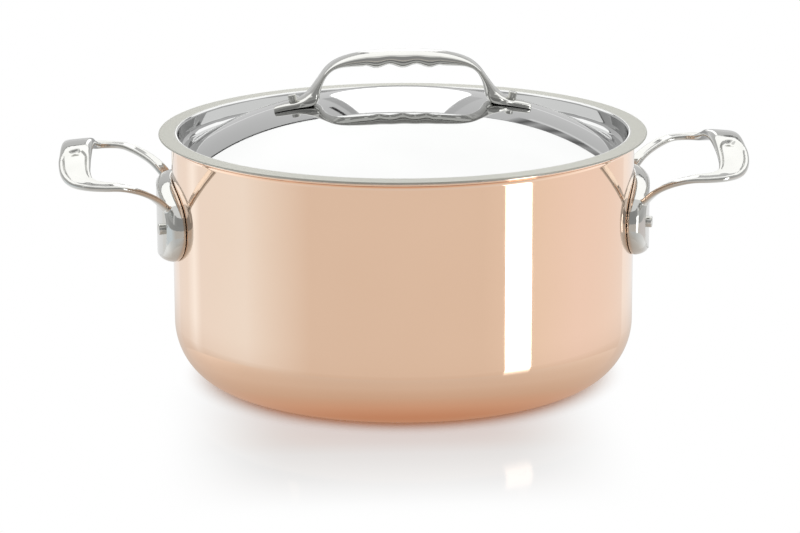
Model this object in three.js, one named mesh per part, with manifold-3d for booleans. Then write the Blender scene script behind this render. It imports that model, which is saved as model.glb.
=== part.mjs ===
// Low two-handled copper pot with a lift-off lid.
// Millimetres, +Z up. The origin is the centre of the foot disc's underside; the handles lie along X.
import * as THREE from 'three';
import { mergeVertices } from 'three/addons/utils/BufferGeometryUtils.js';
import Module from 'manifold-3d';

const wasm = await Module();
wasm.setup();

// Pot
const POT_RADIUS = 120;
const RIM_HEIGHT = 130;
const COPPER_THICKNESS = 1.7;
const LINING_THICKNESS = 0.25;
const BOND_GAP = 0.05;
const CORNER_WIDTH = 26;
const CORNER_HEIGHT = 30;
const LIP_BEND_RADIUS = 2.5;
const LIP_RADIUS = 125.4;
const FOOT_RADIUS = 88;
const FOOT_THICKNESS = 0.6;
const FOOT_CHAMFER = 0.25;
const SEAT_GAP = 0.2;

// Lid
const LID_THICKNESS = 1;
const FLANGE_RADIUS = 126.4;
const FLANGE_BEND_RADIUS = 1.9;
const LID_WALL_RADIUS = 116.4;
const GUTTER_RADIUS = 3.6;
const DOME_BASE_RADIUS = 108;
const DOME_BASE_DROP = 7.6;
const DOME_RISE = 17.3;
const DOME_CROWN_RADIUS = 340;
const DOME_STEPS = 5;

// Side handles
const PLATE_HALF_WIDTH = 44;
const PLATE_HALF_HEIGHT = 21.4;
const PLATE_THICKNESS = 8.1;
const PLATE_HEIGHT = 86;
const PLATE_FULLNESS = 2.4;
const PLATE_EDGE = 1.2;
const PLATE_NOSE = 0.2;
const PLATE_POINTS = 28;
const WALL_GAP = 0.35;
const STRAP_DISH = 0.9;
const STRAP_THICKNESS = 3.6;
const STRAP_STEPS = 40;
const STRAP_BANK = THREE.MathUtils.degToRad(5);
const ARM_HALF_WIDTH = 4.2;
const BAR_HALF_WIDTH = 8.2;
const PAD_TOP = 125.1;
const PAD_DROP = 5;
const PAD_CENTRE = 168.6;
const PAD_HALF_LENGTH = 7;
const PAD_HALF_WIDTH = 11;
const PAD_SPREAD = 3;
const PAD_END_SPREAD = 0.8;
const PAD_CORNER = 2;

// Side rivets
const RIVET_ANGLE = THREE.MathUtils.degToRad(14);
const SHANK_RADIUS = 2.1;
const HEAD_RADIUS = 2.9;
const HEAD_HEIGHT = 2.2;
const HEAD_CHAMFER = 0.12;
const BACK_HEAD_RADIUS = 4.6;
const BACK_HEAD_HEIGHT = 1.7;
const BACK_HEAD_SHOULDER = { radius: 0.62, height: 0.8 };
const BACK_HEAD_EDGE = 0.25;
const RIVET_GAP = 0.3;
const SADDLE_GAP = 0.2;
const PUNCH_REACH = 15;

// Lid handle
const GRIP_HALF_WIDTH = 8.5;
const ROOT_HALF_WIDTH = 9.6;
const FOOT_HALF_WIDTH = 6.8;
const TOE_HALF_WIDTH = 2.6;
const WAVE_PITCH = 13.7;
const WAVE_HEIGHT = 1;
const WAVE_REACH = 20.5;
const WAVE_FADE = 3;
const GRIP_FULLNESS = 2.6;
const GRIP_POINTS = 12;
const GRIP_STEPS = 52;
const FOOT_GAP = 0.35;
const LID_RIVET_X = 56;
const LID_SHANK_RADIUS = 1.6;
const LID_HEAD_RADIUS = 2.2;
const LID_HEAD_HEIGHT = 3;
const LID_BACK_HEAD_RADIUS = 3.6;
const LID_BACK_HEAD_HEIGHT = 1.2;
const LID_FOOT_THICKNESS = 3.4;
const LID_TOE_THICKNESS = 2.8;

// Facets
const SHELL_SEGMENTS = 56;
const RIVET_SEGMENTS = 12;
const WELD = 1e-4;

const COPPER = { color: 0xd9a586, roughness: 0.12, metalness: 1 };
const STEEL = { color: 0xd6d6d2, roughness: 0.1, metalness: 1 };
const BRUSHED_STEEL = { color: 0xbcbcb8, roughness: 0.35, metalness: 1 };

const vec2 = (x, y) => new THREE.Vector2(x, y);
const vec3 = (x, y, z) => new THREE.Vector3(x, y, z);

// Turns a closed geometry into a solid that can be joined and cut.
function solidOf(geometry) {
  const bare = new THREE.BufferGeometry();
  bare.setAttribute('position', geometry.getAttribute('position'));
  bare.setIndex(geometry.getIndex());
  const welded = mergeVertices(bare, WELD);
  const corners = welded.getIndex().array;
  const kept = [];
  for (let i = 0; i < corners.length; i += 3) {
    const [a, b, c] = corners.slice(i, i + 3);
    if (a !== b && b !== c && c !== a) kept.push(a, b, c);
  }
  return new wasm.Manifold(new wasm.Mesh({
    numProp: 3,
    vertProperties: Float32Array.from(welded.getAttribute('position').array),
    triVerts: Uint32Array.from(kept),
  }));
}

// Gives a solid back as a named mesh with its own material.
function meshOf(name, solid, finish) {
  const { vertProperties, triVerts } = solid.getMesh();
  const geometry = new THREE.BufferGeometry();
  geometry.setAttribute('position', new THREE.Float32BufferAttribute(vertProperties, 3));
  geometry.setIndex(new THREE.Uint32BufferAttribute(triVerts, 1));
  geometry.computeVertexNormals();
  const mesh = new THREE.Mesh(geometry, new THREE.MeshStandardMaterial(finish));
  mesh.name = name;
  return mesh;
}

// Points on an elliptical arc, angles in degrees, both ends included.
function arc(centre, radiusX, radiusY, from, to, steps) {
  return Array.from({ length: steps + 1 }, (_, i) => {
    const angle = THREE.MathUtils.degToRad(from + (to - from) * i / steps);
    return vec2(centre.x + radiusX * Math.cos(angle), centre.y + radiusY * Math.sin(angle));
  });
}

// Moves an open profile sideways, to the left of its direction of travel.
function offset(profile, distance) {
  return profile.map((point, i) => {
    const before = profile[Math.max(i - 1, 0)];
    const after = profile[Math.min(i + 1, profile.length - 1)];
    const along = i === 0 ? after.clone().sub(point) : point.clone().sub(before);
    const next = i === profile.length - 1 ? along : after.clone().sub(point);
    const normalIn = vec2(-along.y, along.x).normalize();
    const normalOut = vec2(-next.y, next.x).normalize();
    const mitre = normalIn.clone().add(normalOut).normalize();
    return point.clone().addScaledVector(mitre, distance / mitre.dot(normalIn));
  });
}

// Revolves a profile that starts and ends on the axis about Z.
function revolve(profile, segments) {
  return solidOf(new THREE.LatheGeometry(profile, segments).rotateX(Math.PI / 2));
}

// A sheet of even thickness on a face that runs outwards from the axis: above it, or below if negative.
function revolveSheet(face, thickness) {
  const back = offset(face, thickness);
  back[0].x = 0;
  const [lower, upper] = thickness > 0 ? [face, back] : [back, face];
  return revolve([...lower, ...upper.slice().reverse()], SHELL_SEGMENTS);
}

// Skins a row of equal rings and closes both ends with a fan.
function loft(rings) {
  const count = rings[0].length;
  const points = rings.flat();
  const index = [];
  for (let row = 0; row < rings.length - 1; row += 1) {
    for (let i = 0; i < count; i += 1) {
      const a = row * count + i;
      const b = row * count + (i + 1) % count;
      index.push(a, b, b + count, a, b + count, a + count);
    }
  }
  for (const [row, flip] of [[0, false], [rings.length - 1, true]]) {
    const hub = points.length;
    points.push(rings[row].reduce((sum, p) => sum.add(p), vec3(0, 0, 0)).divideScalar(count));
    for (let i = 0; i < count; i += 1) {
      const a = row * count + i;
      const b = row * count + (i + 1) % count;
      index.push(hub, ...(flip ? [a, b] : [b, a]));
    }
  }
  const geometry = new THREE.BufferGeometry().setFromPoints(points);
  geometry.setIndex(index);
  return solidOf(geometry);
}

// A rivet along +X: low domed head at the back, shank, flat cylindrical head at the front.
function rivetSolid(backFace, frontFace, shankRadius, backHead, frontHead) {
  const chamfer = frontHead.radius * HEAD_CHAMFER;
  const tip = frontFace + frontHead.height;
  const profile = [
    vec2(0, backFace - backHead.height),
    vec2(backHead.radius * BACK_HEAD_SHOULDER.radius, backFace - backHead.height * BACK_HEAD_SHOULDER.height),
    vec2(backHead.radius, backFace - backHead.height * BACK_HEAD_EDGE),
    vec2(backHead.radius, backFace),
    vec2(shankRadius, backFace),
    vec2(shankRadius, frontFace),
    vec2(frontHead.radius, frontFace),
    vec2(frontHead.radius, tip - chamfer),
    vec2(frontHead.radius - chamfer, tip),
    vec2(0, tip),
  ];
  const lathe = new THREE.LatheGeometry(profile, RIVET_SEGMENTS).rotateX(Math.PI / 2).rotateY(Math.PI / 2);
  return solidOf(lathe);
}

// A plain round punch along +X, for rivet holes through a face at this distance from the origin.
function punch(face, radius) {
  const geometry = new THREE.CylinderGeometry(radius, radius, 2 * PUNCH_REACH, RIVET_SEGMENTS);
  return geometry.rotateZ(-Math.PI / 2).translate(face, 0, 0);
}

// Punches both rivet holes of a side handle that stands at this turn about Z.
function punchSide(solid, turn) {
  let pierced = solid;
  for (const hand of [-1, 1]) {
    const hole = punch(POT_RADIUS, SHANK_RADIUS + RIVET_GAP);
    hole.rotateZ(turn + hand * RIVET_ANGLE).translate(0, 0, PLATE_HEIGHT);
    pierced = pierced.subtract(solidOf(hole));
  }
  return pierced;
}

// Pot body: one outer face, and the layers that follow it inwards.
const lipTop = RIM_HEIGHT - LID_THICKNESS - SEAT_GAP;
const wallThickness = COPPER_THICKNESS + BOND_GAP + LINING_THICKNESS;
const potBottom = FOOT_THICKNESS + SEAT_GAP;
const lipCentre = vec2(POT_RADIUS + LIP_BEND_RADIUS, lipTop - wallThickness - LIP_BEND_RADIUS);
const potFace = [
  vec2(0, potBottom),
  ...arc(vec2(POT_RADIUS - CORNER_WIDTH, potBottom + CORNER_HEIGHT), CORNER_WIDTH, CORNER_HEIGHT, -90, 0, 5),
  ...arc(lipCentre, LIP_BEND_RADIUS, LIP_BEND_RADIUS, 180, 90, 2),
  vec2(LIP_RADIUS, lipTop - wallThickness),
];
const liningFace = offset(potFace, COPPER_THICKNESS + BOND_GAP);
liningFace[0].x = 0;

const sides = [
  { name: 'right', turn: 0, rivets: { front: -1, rear: 1 } },
  { name: 'left', turn: Math.PI, rivets: { front: 1, rear: -1 } },
];

// Both walls are pierced where the side rivets pass.
function pierceWall(shell) {
  let pierced = shell;
  for (const { turn } of sides) {
    pierced = punchSide(pierced, turn);
  }
  return pierced;
}

const copperShell = pierceWall(revolveSheet(potFace, COPPER_THICKNESS));
const steelLining = pierceWall(revolveSheet(liningFace, LINING_THICKNESS));
const footDisc = revolve([
  vec2(0, 0),
  vec2(FOOT_RADIUS - FOOT_CHAMFER, 0),
  vec2(FOOT_RADIUS, FOOT_CHAMFER),
  vec2(FOOT_RADIUS, FOOT_THICKNESS),
  vec2(0, FOOT_THICKNESS),
], SHELL_SEGMENTS);

// Lid: dome with a flat crown, rounded gutter, upright wall and flat flange, pressed from one sheet.
// The dome falls away as a shallow bowl near the crown and faster, by the fourth power, on its flank.
const domeTop = RIM_HEIGHT + DOME_RISE;
const domeBase = RIM_HEIGHT - DOME_BASE_DROP;
const crownDrop = (radius) => radius ** 2 / (2 * DOME_CROWN_RADIUS);
const flank = (domeTop - domeBase - crownDrop(DOME_BASE_RADIUS)) / DOME_BASE_RADIUS ** 4;
const domeLevel = (radius) => domeTop - crownDrop(radius) - flank * radius ** 4;
const domeSlope = (radius) => Math.atan(radius / DOME_CROWN_RADIUS + 4 * flank * radius ** 3);
const skirtSlope = domeSlope(DOME_BASE_RADIUS);
const skirtAngle = THREE.MathUtils.radToDeg(skirtSlope);

// The dome runs on as a straight skirt that meets the gutter's arc smoothly.
const gutterX = LID_WALL_RADIUS - GUTTER_RADIUS;
const skirtEnd = gutterX - GUTTER_RADIUS * Math.sin(skirtSlope);
const skirtDrop = (skirtEnd - DOME_BASE_RADIUS) * Math.tan(skirtSlope);
const gutterCentre = vec2(gutterX, domeBase - skirtDrop + GUTTER_RADIUS * Math.cos(skirtSlope));
const lidFace = [
  ...Array.from({ length: DOME_STEPS + 1 }, (_, i) => {
    const radius = DOME_BASE_RADIUS * i / DOME_STEPS;
    return vec2(radius, domeLevel(radius));
  }),
  ...arc(gutterCentre, GUTTER_RADIUS, GUTTER_RADIUS, 270 - skirtAngle, 360, 3),
  ...arc(vec2(LID_WALL_RADIUS + FLANGE_BEND_RADIUS, RIM_HEIGHT - FLANGE_BEND_RADIUS),
    FLANGE_BEND_RADIUS, FLANGE_BEND_RADIUS, 180, 90, 2),
  vec2(FLANGE_RADIUS, RIM_HEIGHT),
];
const lidRivetTilt = domeSlope(LID_RIVET_X);
const lidRivetLevel = domeLevel(LID_RIVET_X);

// A hole square to the dome at each foot of the lid handle.
function pierceDome(solid) {
  let pierced = solid;
  for (const hand of [-1, 1]) {
    const hole = punch(0, LID_SHANK_RADIUS + RIVET_GAP);
    hole.rotateY(hand * lidRivetTilt - Math.PI / 2).translate(hand * LID_RIVET_X, 0, lidRivetLevel);
    pierced = pierced.subtract(solidOf(hole));
  }
  return pierced;
}

const lidShell = pierceDome(revolveSheet(lidFace, -LID_THICKNESS));

// Foot plate of a side handle: a rounded oval wrapped round the wall, with a bull-nosed edge.
function ovalRing(scale, height) {
  return Array.from({ length: PLATE_POINTS }, (_, i) => {
    const angle = 2 * Math.PI * i / PLATE_POINTS;
    const soften = (value) => Math.sign(value) * Math.abs(value) ** (2 / PLATE_FULLNESS);
    const wrap = scale * PLATE_HALF_WIDTH * soften(Math.cos(angle)) / POT_RADIUS;
    const level = PLATE_HEIGHT + scale * PLATE_HALF_HEIGHT * soften(Math.sin(angle));
    const reach = POT_RADIUS + WALL_GAP + height;
    return vec3(reach * Math.cos(wrap), reach * Math.sin(wrap), level);
  });
}

function footPlate() {
  const backScales = [0.02, 0.34, 0.66, 0.95];
  const crown = [0.4, 0.02];
  const nose = arc(vec2(1 - PLATE_NOSE, PLATE_EDGE), PLATE_NOSE, PLATE_THICKNESS - PLATE_EDGE, 0, 90, 3);
  return loft([
    ...backScales.map((scale) => ovalRing(scale, 0)),
    ...nose.map(({ x, y }) => ovalRing(x, y)),
    ...crown.map((scale) => ovalRing(scale, PLATE_THICKNESS)),
  ]);
}

// Strap of a side handle: up and out from one end of the plate, across the outer bar, and back.
function strap() {
  const half = [
    { at: vec3(119, 31.5, 92), width: 3.2 },
    { at: vec3(123.6, 35.6, 99), width: 4 },
    { at: vec3(128.5, 39.6, 104.3), width: ARM_HALF_WIDTH },
    { at: vec3(134, 43.3, 108), width: ARM_HALF_WIDTH },
    { at: vec3(140, 47, 110.7), width: ARM_HALF_WIDTH },
    { at: vec3(146, 50, 112.5), width: 4.4 },
    { at: vec3(152.3, 51.2, 113), width: 4.8 },
    { at: vec3(159, 49.8, 113.4), width: 5.6 },
    { at: vec3(164.6, 44.6, 114.2), width: 6.6 },
    { at: vec3(167.6, 36, 116.5), width: 7.6 },
    { at: vec3(PAD_CENTRE, 25, 119.9), width: BAR_HALF_WIDTH },
    { at: vec3(PAD_CENTRE, 10, 122.2), width: BAR_HALF_WIDTH },
  ];
  const other = half.map(({ at, width }) => ({ at: vec3(at.x, -at.y, at.z), width })).reverse();
  const stations = [...half, ...other];
  const path = new THREE.CatmullRomCurve3(stations.map(({ at }) => at));
  const widths = new THREE.CatmullRomCurve3(stations.map(({ width }) => vec3(width, 0, 0)));
  return loft(Array.from({ length: STRAP_STEPS + 1 }, (_, i) => {
    const t = i / STRAP_STEPS;
    return strapSection(path.getPoint(t), path.getTangent(t), widths.getPoint(t).x);
  }));
}

// Strap section: dished top between two rounded edges, gently rounded underside. The outer edge hangs lower.
function strapSection(centre, along, width) {
  const across = vec3(-along.y, along.x, 0).normalize().applyAxisAngle(along, -STRAP_BANK);
  const up = along.clone().cross(across);
  const half = STRAP_THICKNESS / 2;
  const outline = [
    [1, 0.1 * half], [0.82, half], [0.45, half - 0.75 * STRAP_DISH], [0, half - STRAP_DISH],
    [-0.45, half - 0.75 * STRAP_DISH], [-0.82, half], [-1, 0.1 * half],
    [-0.7, -0.75 * half], [0, -half], [0.7, -0.75 * half],
  ];
  return outline.map(([u, v]) => centre.clone().addScaledVector(across, u * width).addScaledVector(up, v));
}

// Raised thumb pad in the middle of the outer bar, spreading into the strap below.
function thumbPad() {
  const levels = [
    { drop: PAD_DROP, spread: PAD_SPREAD },
    { drop: 2.4, spread: 1.4 },
    { drop: 0.6, spread: 0.5 },
    { drop: 0, spread: -0.4 },
  ];
  return loft(levels.map(({ drop, spread }) => {
    const long = PAD_HALF_LENGTH + Math.min(spread, PAD_END_SPREAD);
    const wide = PAD_HALF_WIDTH + spread;
    const outline = [[1, 1], [-1, 1], [-1, -1], [1, -1]].flatMap(([sx, sy], i) => {
      const first = vec3(sx * long, sy * (wide - PAD_CORNER), 0);
      const second = vec3(sx * (long - PAD_CORNER), sy * wide, 0);
      return i % 2 ? [second, first] : [first, second];
    });
    return outline.map((p) => p.add(vec3(PAD_CENTRE, 0, PAD_TOP - drop)));
  }));
}

const sideHandle = punchSide(footPlate().add(strap()).add(thumbPad()), 0);

// Lid handle: a cast arch between an outer and an inner rail, on two slim feet.
function lidHandle() {
  const footRail = (x, height) => [x, domeLevel(x) + FOOT_GAP + height];
  const half = [
    { outer: [0, 171.8], inner: [0, 163.9], width: GRIP_HALF_WIDTH },
    { outer: [12.5, 171.4], inner: [12.5, 163.9], width: GRIP_HALF_WIDTH },
    { outer: [24.5, 169.9], inner: [24, 163.8], width: GRIP_HALF_WIDTH },
    { outer: [33.8, 166.9], inner: [32.8, 162.8], width: GRIP_HALF_WIDTH },
    { outer: [39.8, 162.5], inner: [37.8, 160.3], width: GRIP_HALF_WIDTH },
    { outer: [44.4, 156.4], inner: [41, 155.2], width: GRIP_HALF_WIDTH },
    { outer: [48.4, 151.1], inner: [42.4, 149.9], width: 8.9 },
    { outer: [50.4, 149.2], inner: [43, 147], width: ROOT_HALF_WIDTH },
    { outer: [53, 147.3], inner: footRail(46, 0.1), width: 9 },
    { outer: footRail(56, LID_FOOT_THICKNESS), inner: footRail(53, 0), width: FOOT_HALF_WIDTH },
    { outer: footRail(62, LID_FOOT_THICKNESS), inner: footRail(61, 0), width: 4.5 },
    { outer: footRail(66.5, LID_TOE_THICKNESS), inner: footRail(66.2, 0), width: TOE_HALF_WIDTH },
  ];
  const other = half.slice(1).map(({ outer, inner, width }) => (
    { outer: [-outer[0], outer[1]], inner: [-inner[0], inner[1]], width }
  )).reverse();
  const stations = [...other, ...half];
  const rail = (pick) => new THREE.CatmullRomCurve3(stations.map(pick));
  const outer = rail((s) => vec3(s.outer[0], 0, s.outer[1]));
  const inner = rail((s) => vec3(s.inner[0], 0, s.inner[1]));
  const widths = rail((s) => vec3(s.width, 0, 0));
  return loft(Array.from({ length: GRIP_STEPS + 1 }, (_, i) => {
    const t = i / GRIP_STEPS;
    return gripSection(inner.getPoint(t), outer.getPoint(t), widths.getPoint(t).x);
  }));
}

// Grip section: a rounded oblong from the inner rail to the outer rail, with finger waves below.
function gripSection(inner, outer, width) {
  const fade = THREE.MathUtils.smoothstep(WAVE_REACH - Math.abs(inner.x), 0, WAVE_FADE);
  const wave = -fade * WAVE_HEIGHT * Math.cos(2 * Math.PI * inner.x / WAVE_PITCH);
  const low = inner.clone().add(vec3(0, 0, wave));
  return Array.from({ length: GRIP_POINTS }, (_, i) => {
    const angle = 2 * Math.PI * i / GRIP_POINTS;
    const soften = (value) => Math.sign(value) * Math.abs(value) ** (2 / GRIP_FULLNESS);
    const point = low.clone().lerp(outer, (1 + soften(Math.sin(angle))) / 2);
    return point.add(vec3(0, width * soften(Math.cos(angle)), 0));
  });
}

const pot = new THREE.Group();
pot.add(
  meshOf('copper_shell', copperShell, COPPER),
  meshOf('steel_lining', steelLining, STEEL),
  meshOf('base_disc', footDisc, BRUSHED_STEEL),
);

const wallInside = POT_RADIUS - wallThickness - RIVET_GAP - SADDLE_GAP;
const plateFace = POT_RADIUS + WALL_GAP + PLATE_THICKNESS + RIVET_GAP;
const sideRivet = rivetSolid(wallInside, plateFace, SHANK_RADIUS,
  { radius: BACK_HEAD_RADIUS, height: BACK_HEAD_HEIGHT }, { radius: HEAD_RADIUS, height: HEAD_HEIGHT });

for (const { name, turn, rivets } of sides) {
  const side = new THREE.Group();
  side.rotation.z = turn;
  side.add(meshOf(`${name}_handle`, sideHandle, STEEL));
  for (const [place, hand] of Object.entries(rivets)) {
    const rivet = meshOf(`${name}_${place}_rivet`, sideRivet, STEEL);
    rivet.rotation.z = hand * RIVET_ANGLE;
    rivet.position.z = PLATE_HEIGHT;
    side.add(rivet);
  }
  pot.add(side);
}

const lid = new THREE.Group();
lid.add(
  meshOf('lid_shell', lidShell, STEEL),
  meshOf('lid_handle', pierceDome(lidHandle()), STEEL),
);
const lidRivet = rivetSolid(-LID_THICKNESS - RIVET_GAP - SADDLE_GAP,
  FOOT_GAP + LID_FOOT_THICKNESS + RIVET_GAP + SADDLE_GAP, LID_SHANK_RADIUS,
  { radius: LID_BACK_HEAD_RADIUS, height: LID_BACK_HEAD_HEIGHT },
  { radius: LID_HEAD_RADIUS, height: LID_HEAD_HEIGHT });
for (const [name, hand] of [['lid_left_rivet', -1], ['lid_right_rivet', 1]]) {
  const rivet = meshOf(name, lidRivet, STEEL);
  rivet.rotation.y = hand * lidRivetTilt - Math.PI / 2;
  rivet.position.set(hand * LID_RIVET_X, 0, lidRivetLevel);
  lid.add(rivet);
}

const stockpot = new THREE.Group();
stockpot.add(pot, lid);

export default stockpot;
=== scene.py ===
# %% [markdown]
# # A low copper pot with a steel lid
# The CAD model is the frame: it says where every piece is and how the lid moves. Here each piece gets its
# finished skin. Polished metal shows every facet, so the faceted CAD nodes are replaced by smooth meshes of
# the same sizes.

# %% Load the frame
import bmesh
import bpy
from math import atan, atan2, cos, degrees, pi, radians, sin, sqrt, tan
from mathutils import Matrix, Quaternion, Vector


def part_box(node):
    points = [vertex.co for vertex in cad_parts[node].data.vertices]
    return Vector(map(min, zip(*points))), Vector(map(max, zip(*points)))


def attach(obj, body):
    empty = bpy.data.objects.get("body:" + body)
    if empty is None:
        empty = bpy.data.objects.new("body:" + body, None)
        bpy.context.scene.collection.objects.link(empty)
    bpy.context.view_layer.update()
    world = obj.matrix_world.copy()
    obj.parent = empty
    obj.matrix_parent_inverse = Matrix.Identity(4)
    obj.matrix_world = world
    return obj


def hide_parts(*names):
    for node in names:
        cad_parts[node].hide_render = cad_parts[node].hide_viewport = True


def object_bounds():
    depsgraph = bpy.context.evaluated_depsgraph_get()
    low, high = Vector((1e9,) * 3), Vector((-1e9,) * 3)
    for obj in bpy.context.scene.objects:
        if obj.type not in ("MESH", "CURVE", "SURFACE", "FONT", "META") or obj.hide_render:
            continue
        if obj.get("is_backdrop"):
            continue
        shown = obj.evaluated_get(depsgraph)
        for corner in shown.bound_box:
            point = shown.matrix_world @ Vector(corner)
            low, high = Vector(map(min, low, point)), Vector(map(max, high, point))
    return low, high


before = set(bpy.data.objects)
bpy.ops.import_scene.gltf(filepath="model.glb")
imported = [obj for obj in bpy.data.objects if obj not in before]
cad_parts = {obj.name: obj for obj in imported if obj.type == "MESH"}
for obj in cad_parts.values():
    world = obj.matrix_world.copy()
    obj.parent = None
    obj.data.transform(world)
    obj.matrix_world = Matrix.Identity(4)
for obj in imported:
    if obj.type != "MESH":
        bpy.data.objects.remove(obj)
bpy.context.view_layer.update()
MM = 0.001

# %% [markdown]
# ## Camera
# A long lens from a little above the rim gives the flat, calm view of a catalogue picture. The camera
# stands on a sphere round the middle of the pot, so three numbers place it: distance, elevation and
# azimuth. It is aimed slightly off the middle, because the pot sits a little high in its frame.

# %% Camera
IMAGE_WIDTH = 800
FOCAL_PIXELS = 3091.9
TARGET = Vector((0, 0, 60 * MM))
DISTANCE = 1621.2 * MM
ELEVATION = radians(14.14)
AZIMUTH = radians(-2.9)
ROLL = radians(-0.22)
AIM_RIGHT = -1.683 * MM
AIM_UP = -3.576 * MM

camera_data = bpy.data.cameras.new("camera")
camera_data.sensor_width = 36
camera_data.lens = FOCAL_PIXELS * camera_data.sensor_width / IMAGE_WIDTH
camera = bpy.data.objects.new("camera", camera_data)
bpy.context.scene.collection.objects.link(camera)
bpy.context.scene.camera = camera

outward = Vector((sin(AZIMUTH) * cos(ELEVATION), -cos(AZIMUTH) * cos(ELEVATION), sin(ELEVATION)))
rightward = Vector((cos(AZIMUTH), sin(AZIMUTH), 0))
upward = outward.cross(rightward)
camera.location = TARGET + outward * DISTANCE
aim = TARGET + rightward * AIM_RIGHT + upward * AIM_UP
camera.rotation_mode = "QUATERNION"
facing = (aim - camera.location).to_track_quat("-Z", "Y")
camera.rotation_quaternion = facing @ Quaternion((0, 0, 1), ROLL)
print("lens in mm:", round(camera_data.lens, 1))

# %% [markdown]
# ## Node helpers
# Every material here is a small tree of nodes. Each link made by hand takes a line or two, so short
# functions make the common steps: one starts a material, one adds a node with its values, and the others
# give back an output socket that is ready for the next step.

# %% Node helpers
def add_node(tree, kind, values=None, **settings):
    """Adds a node, sets its own settings, then the start values of its sockets by name or number."""
    node = tree.nodes.new(kind)
    for name, value in settings.items():
        setattr(node, name, value)
    for socket, value in (values or {}).items():
        node.inputs[socket].default_value = value
    return node


def new_material(name):
    """An empty node material with its output: returns material, tree and output node."""
    material = bpy.data.materials.new(name)
    material.use_nodes = True
    tree = material.node_tree
    tree.nodes.clear()
    return material, tree, add_node(tree, "ShaderNodeOutputMaterial")


def ramp(tree, factor, stops):
    """A colour ramp over a factor socket; stops are (position, grey or colour)."""
    node = add_node(tree, "ShaderNodeValToRGB")
    elements = node.color_ramp.elements
    while len(elements) < len(stops):
        elements.new(0.5)
    for element, (position, tone) in zip(elements, stops):
        element.position = position
        element.color = (*tone, 1) if isinstance(tone, tuple) else (tone, tone, tone, 1)
    tree.links.new(factor, node.inputs["Fac"])
    return node.outputs["Color"]


# %% [markdown]
# ## Studio light
# Polished metal has hardly a look of its own: it shows what stands round it. So a photographer lights it by
# building what it mirrors. A picture of a whole room could wrap the world instead, but a panel can be moved
# until its mirror image sits where it should. The world is plain white, and all panels are hidden from
# everything but mirrors, so the light on the paper stays plain.

# %% World and view
scene = bpy.context.scene
scene.view_settings.view_transform = "Standard"
world = bpy.data.worlds.new("white_studio")
scene.world = world
world.use_nodes = True
background = world.node_tree.nodes["Background"]
background.inputs["Color"].default_value = (1, 1, 1, 1)
background.inputs["Strength"].default_value = 1.0
print("world strength:", background.inputs["Strength"].default_value)


# %% Panels for the mirrors
def panel_material(name, stops, strength):
    """A glowing panel whose tone runs along its own width."""
    material, tree, output = new_material(name)
    coords = add_node(tree, "ShaderNodeTexCoord")
    split = add_node(tree, "ShaderNodeSeparateXYZ")
    tree.links.new(coords.outputs["UV"], split.inputs["Vector"])
    glow = add_node(tree, "ShaderNodeEmission", {"Strength": strength})
    tree.links.new(ramp(tree, split.outputs["X"], stops), glow.inputs["Color"])
    tree.links.new(glow.outputs["Emission"], output.inputs["Surface"])
    return material


def show_to_mirrors(name, bm, stops, strength):
    """Makes a stage piece from a bmesh that only glossy rays can see."""
    mesh = bpy.data.meshes.new(name)
    bm.to_mesh(mesh)
    bm.free()
    panel = bpy.data.objects.new(name, mesh)
    scene.collection.objects.link(panel)
    mesh.materials.append(panel_material(name, stops, strength))
    for kind in ("camera", "diffuse", "shadow", "transmission", "volume_scatter"):
        setattr(panel, "visible_" + kind, False)
    panel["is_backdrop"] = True


# %% Flat and curved panels
DEGREES_PER_FACET = 2


def flat_panel(name, corners, stops, strength):
    """A flat four-cornered panel; its tone runs from corner 1 to corner 2."""
    bm = bmesh.new()
    face = bm.faces.new([bm.verts.new(corner) for corner in corners])
    uv = bm.loops.layers.uv.new("UVMap")
    for loop, place in zip(face.loops, ((0, 0), (1, 0), (1, 1), (0, 1))):
        loop[uv].uv = place
    show_to_mirrors(name, bm, stops, strength)


def curved_wall(name, radius, start, end, low, high, stops, strength=1.0):
    """A wall bent round the pot between two bearings, in degrees from the back towards the right.

    Its radius and heights are in metres. Stops are (bearing, tone), so the list reads like a walk
    round the room.
    """
    bm = bmesh.new()
    foot = (radius * sin(radians(start)), radius * cos(radians(start)))
    ends = [bm.verts.new((*foot, low)), bm.verts.new((*foot, high))]
    upright = bm.edges.new(ends)
    bmesh.ops.spin(bm, geom=ends + [upright], cent=(0, 0, 0), axis=(0, 0, 1),
                   angle=-radians(end - start), steps=max(2, int((end - start) / DEGREES_PER_FACET)))
    uv = bm.loops.layers.uv.new("UVMap")
    for face in bm.faces:
        for loop in face.loops:
            bearing = degrees(atan2(loop.vert.co.x, loop.vert.co.y))
            past_start = (bearing - start + 1) % 360 - 1
            loop[uv].uv = (past_start / (end - start), 0)
    places = [((bearing - start) / (end - start), tone) for bearing, tone in stops]
    show_to_mirrors(name, bm, places, strength)


def even_wall(name, radius, start, end, low, high, tone, strength=1.0):
    """A curved wall of one tone."""
    curved_wall(name, radius, start, end, low, high, [(start, tone), (end, tone)], strength)


# %% [markdown]
# ### Ceiling
# The dome of the lid looks upwards, so it mirrors the ceiling. One large soft panel there makes it white.
# The panel's far edge has a frame, dark on the left and pale on the right, which draws thin lines across
# the lid.

# %% Ceiling
CEILING_HEIGHT = 1.5
SOFTBOX_STRENGTH = 1.62
SOFTBOX_BACK = 2.98


def ceiling_panel(name, left, right, front, depth, stops, strength=1.0):
    """A level panel at ceiling height; its tone runs from front to back."""
    back = front + depth
    places = ((left, front), (left, back), (right, back), (right, front))
    corners = [(x, y, CEILING_HEIGHT) for x, y in places]
    flat_panel(name, corners, stops, strength)


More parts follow.
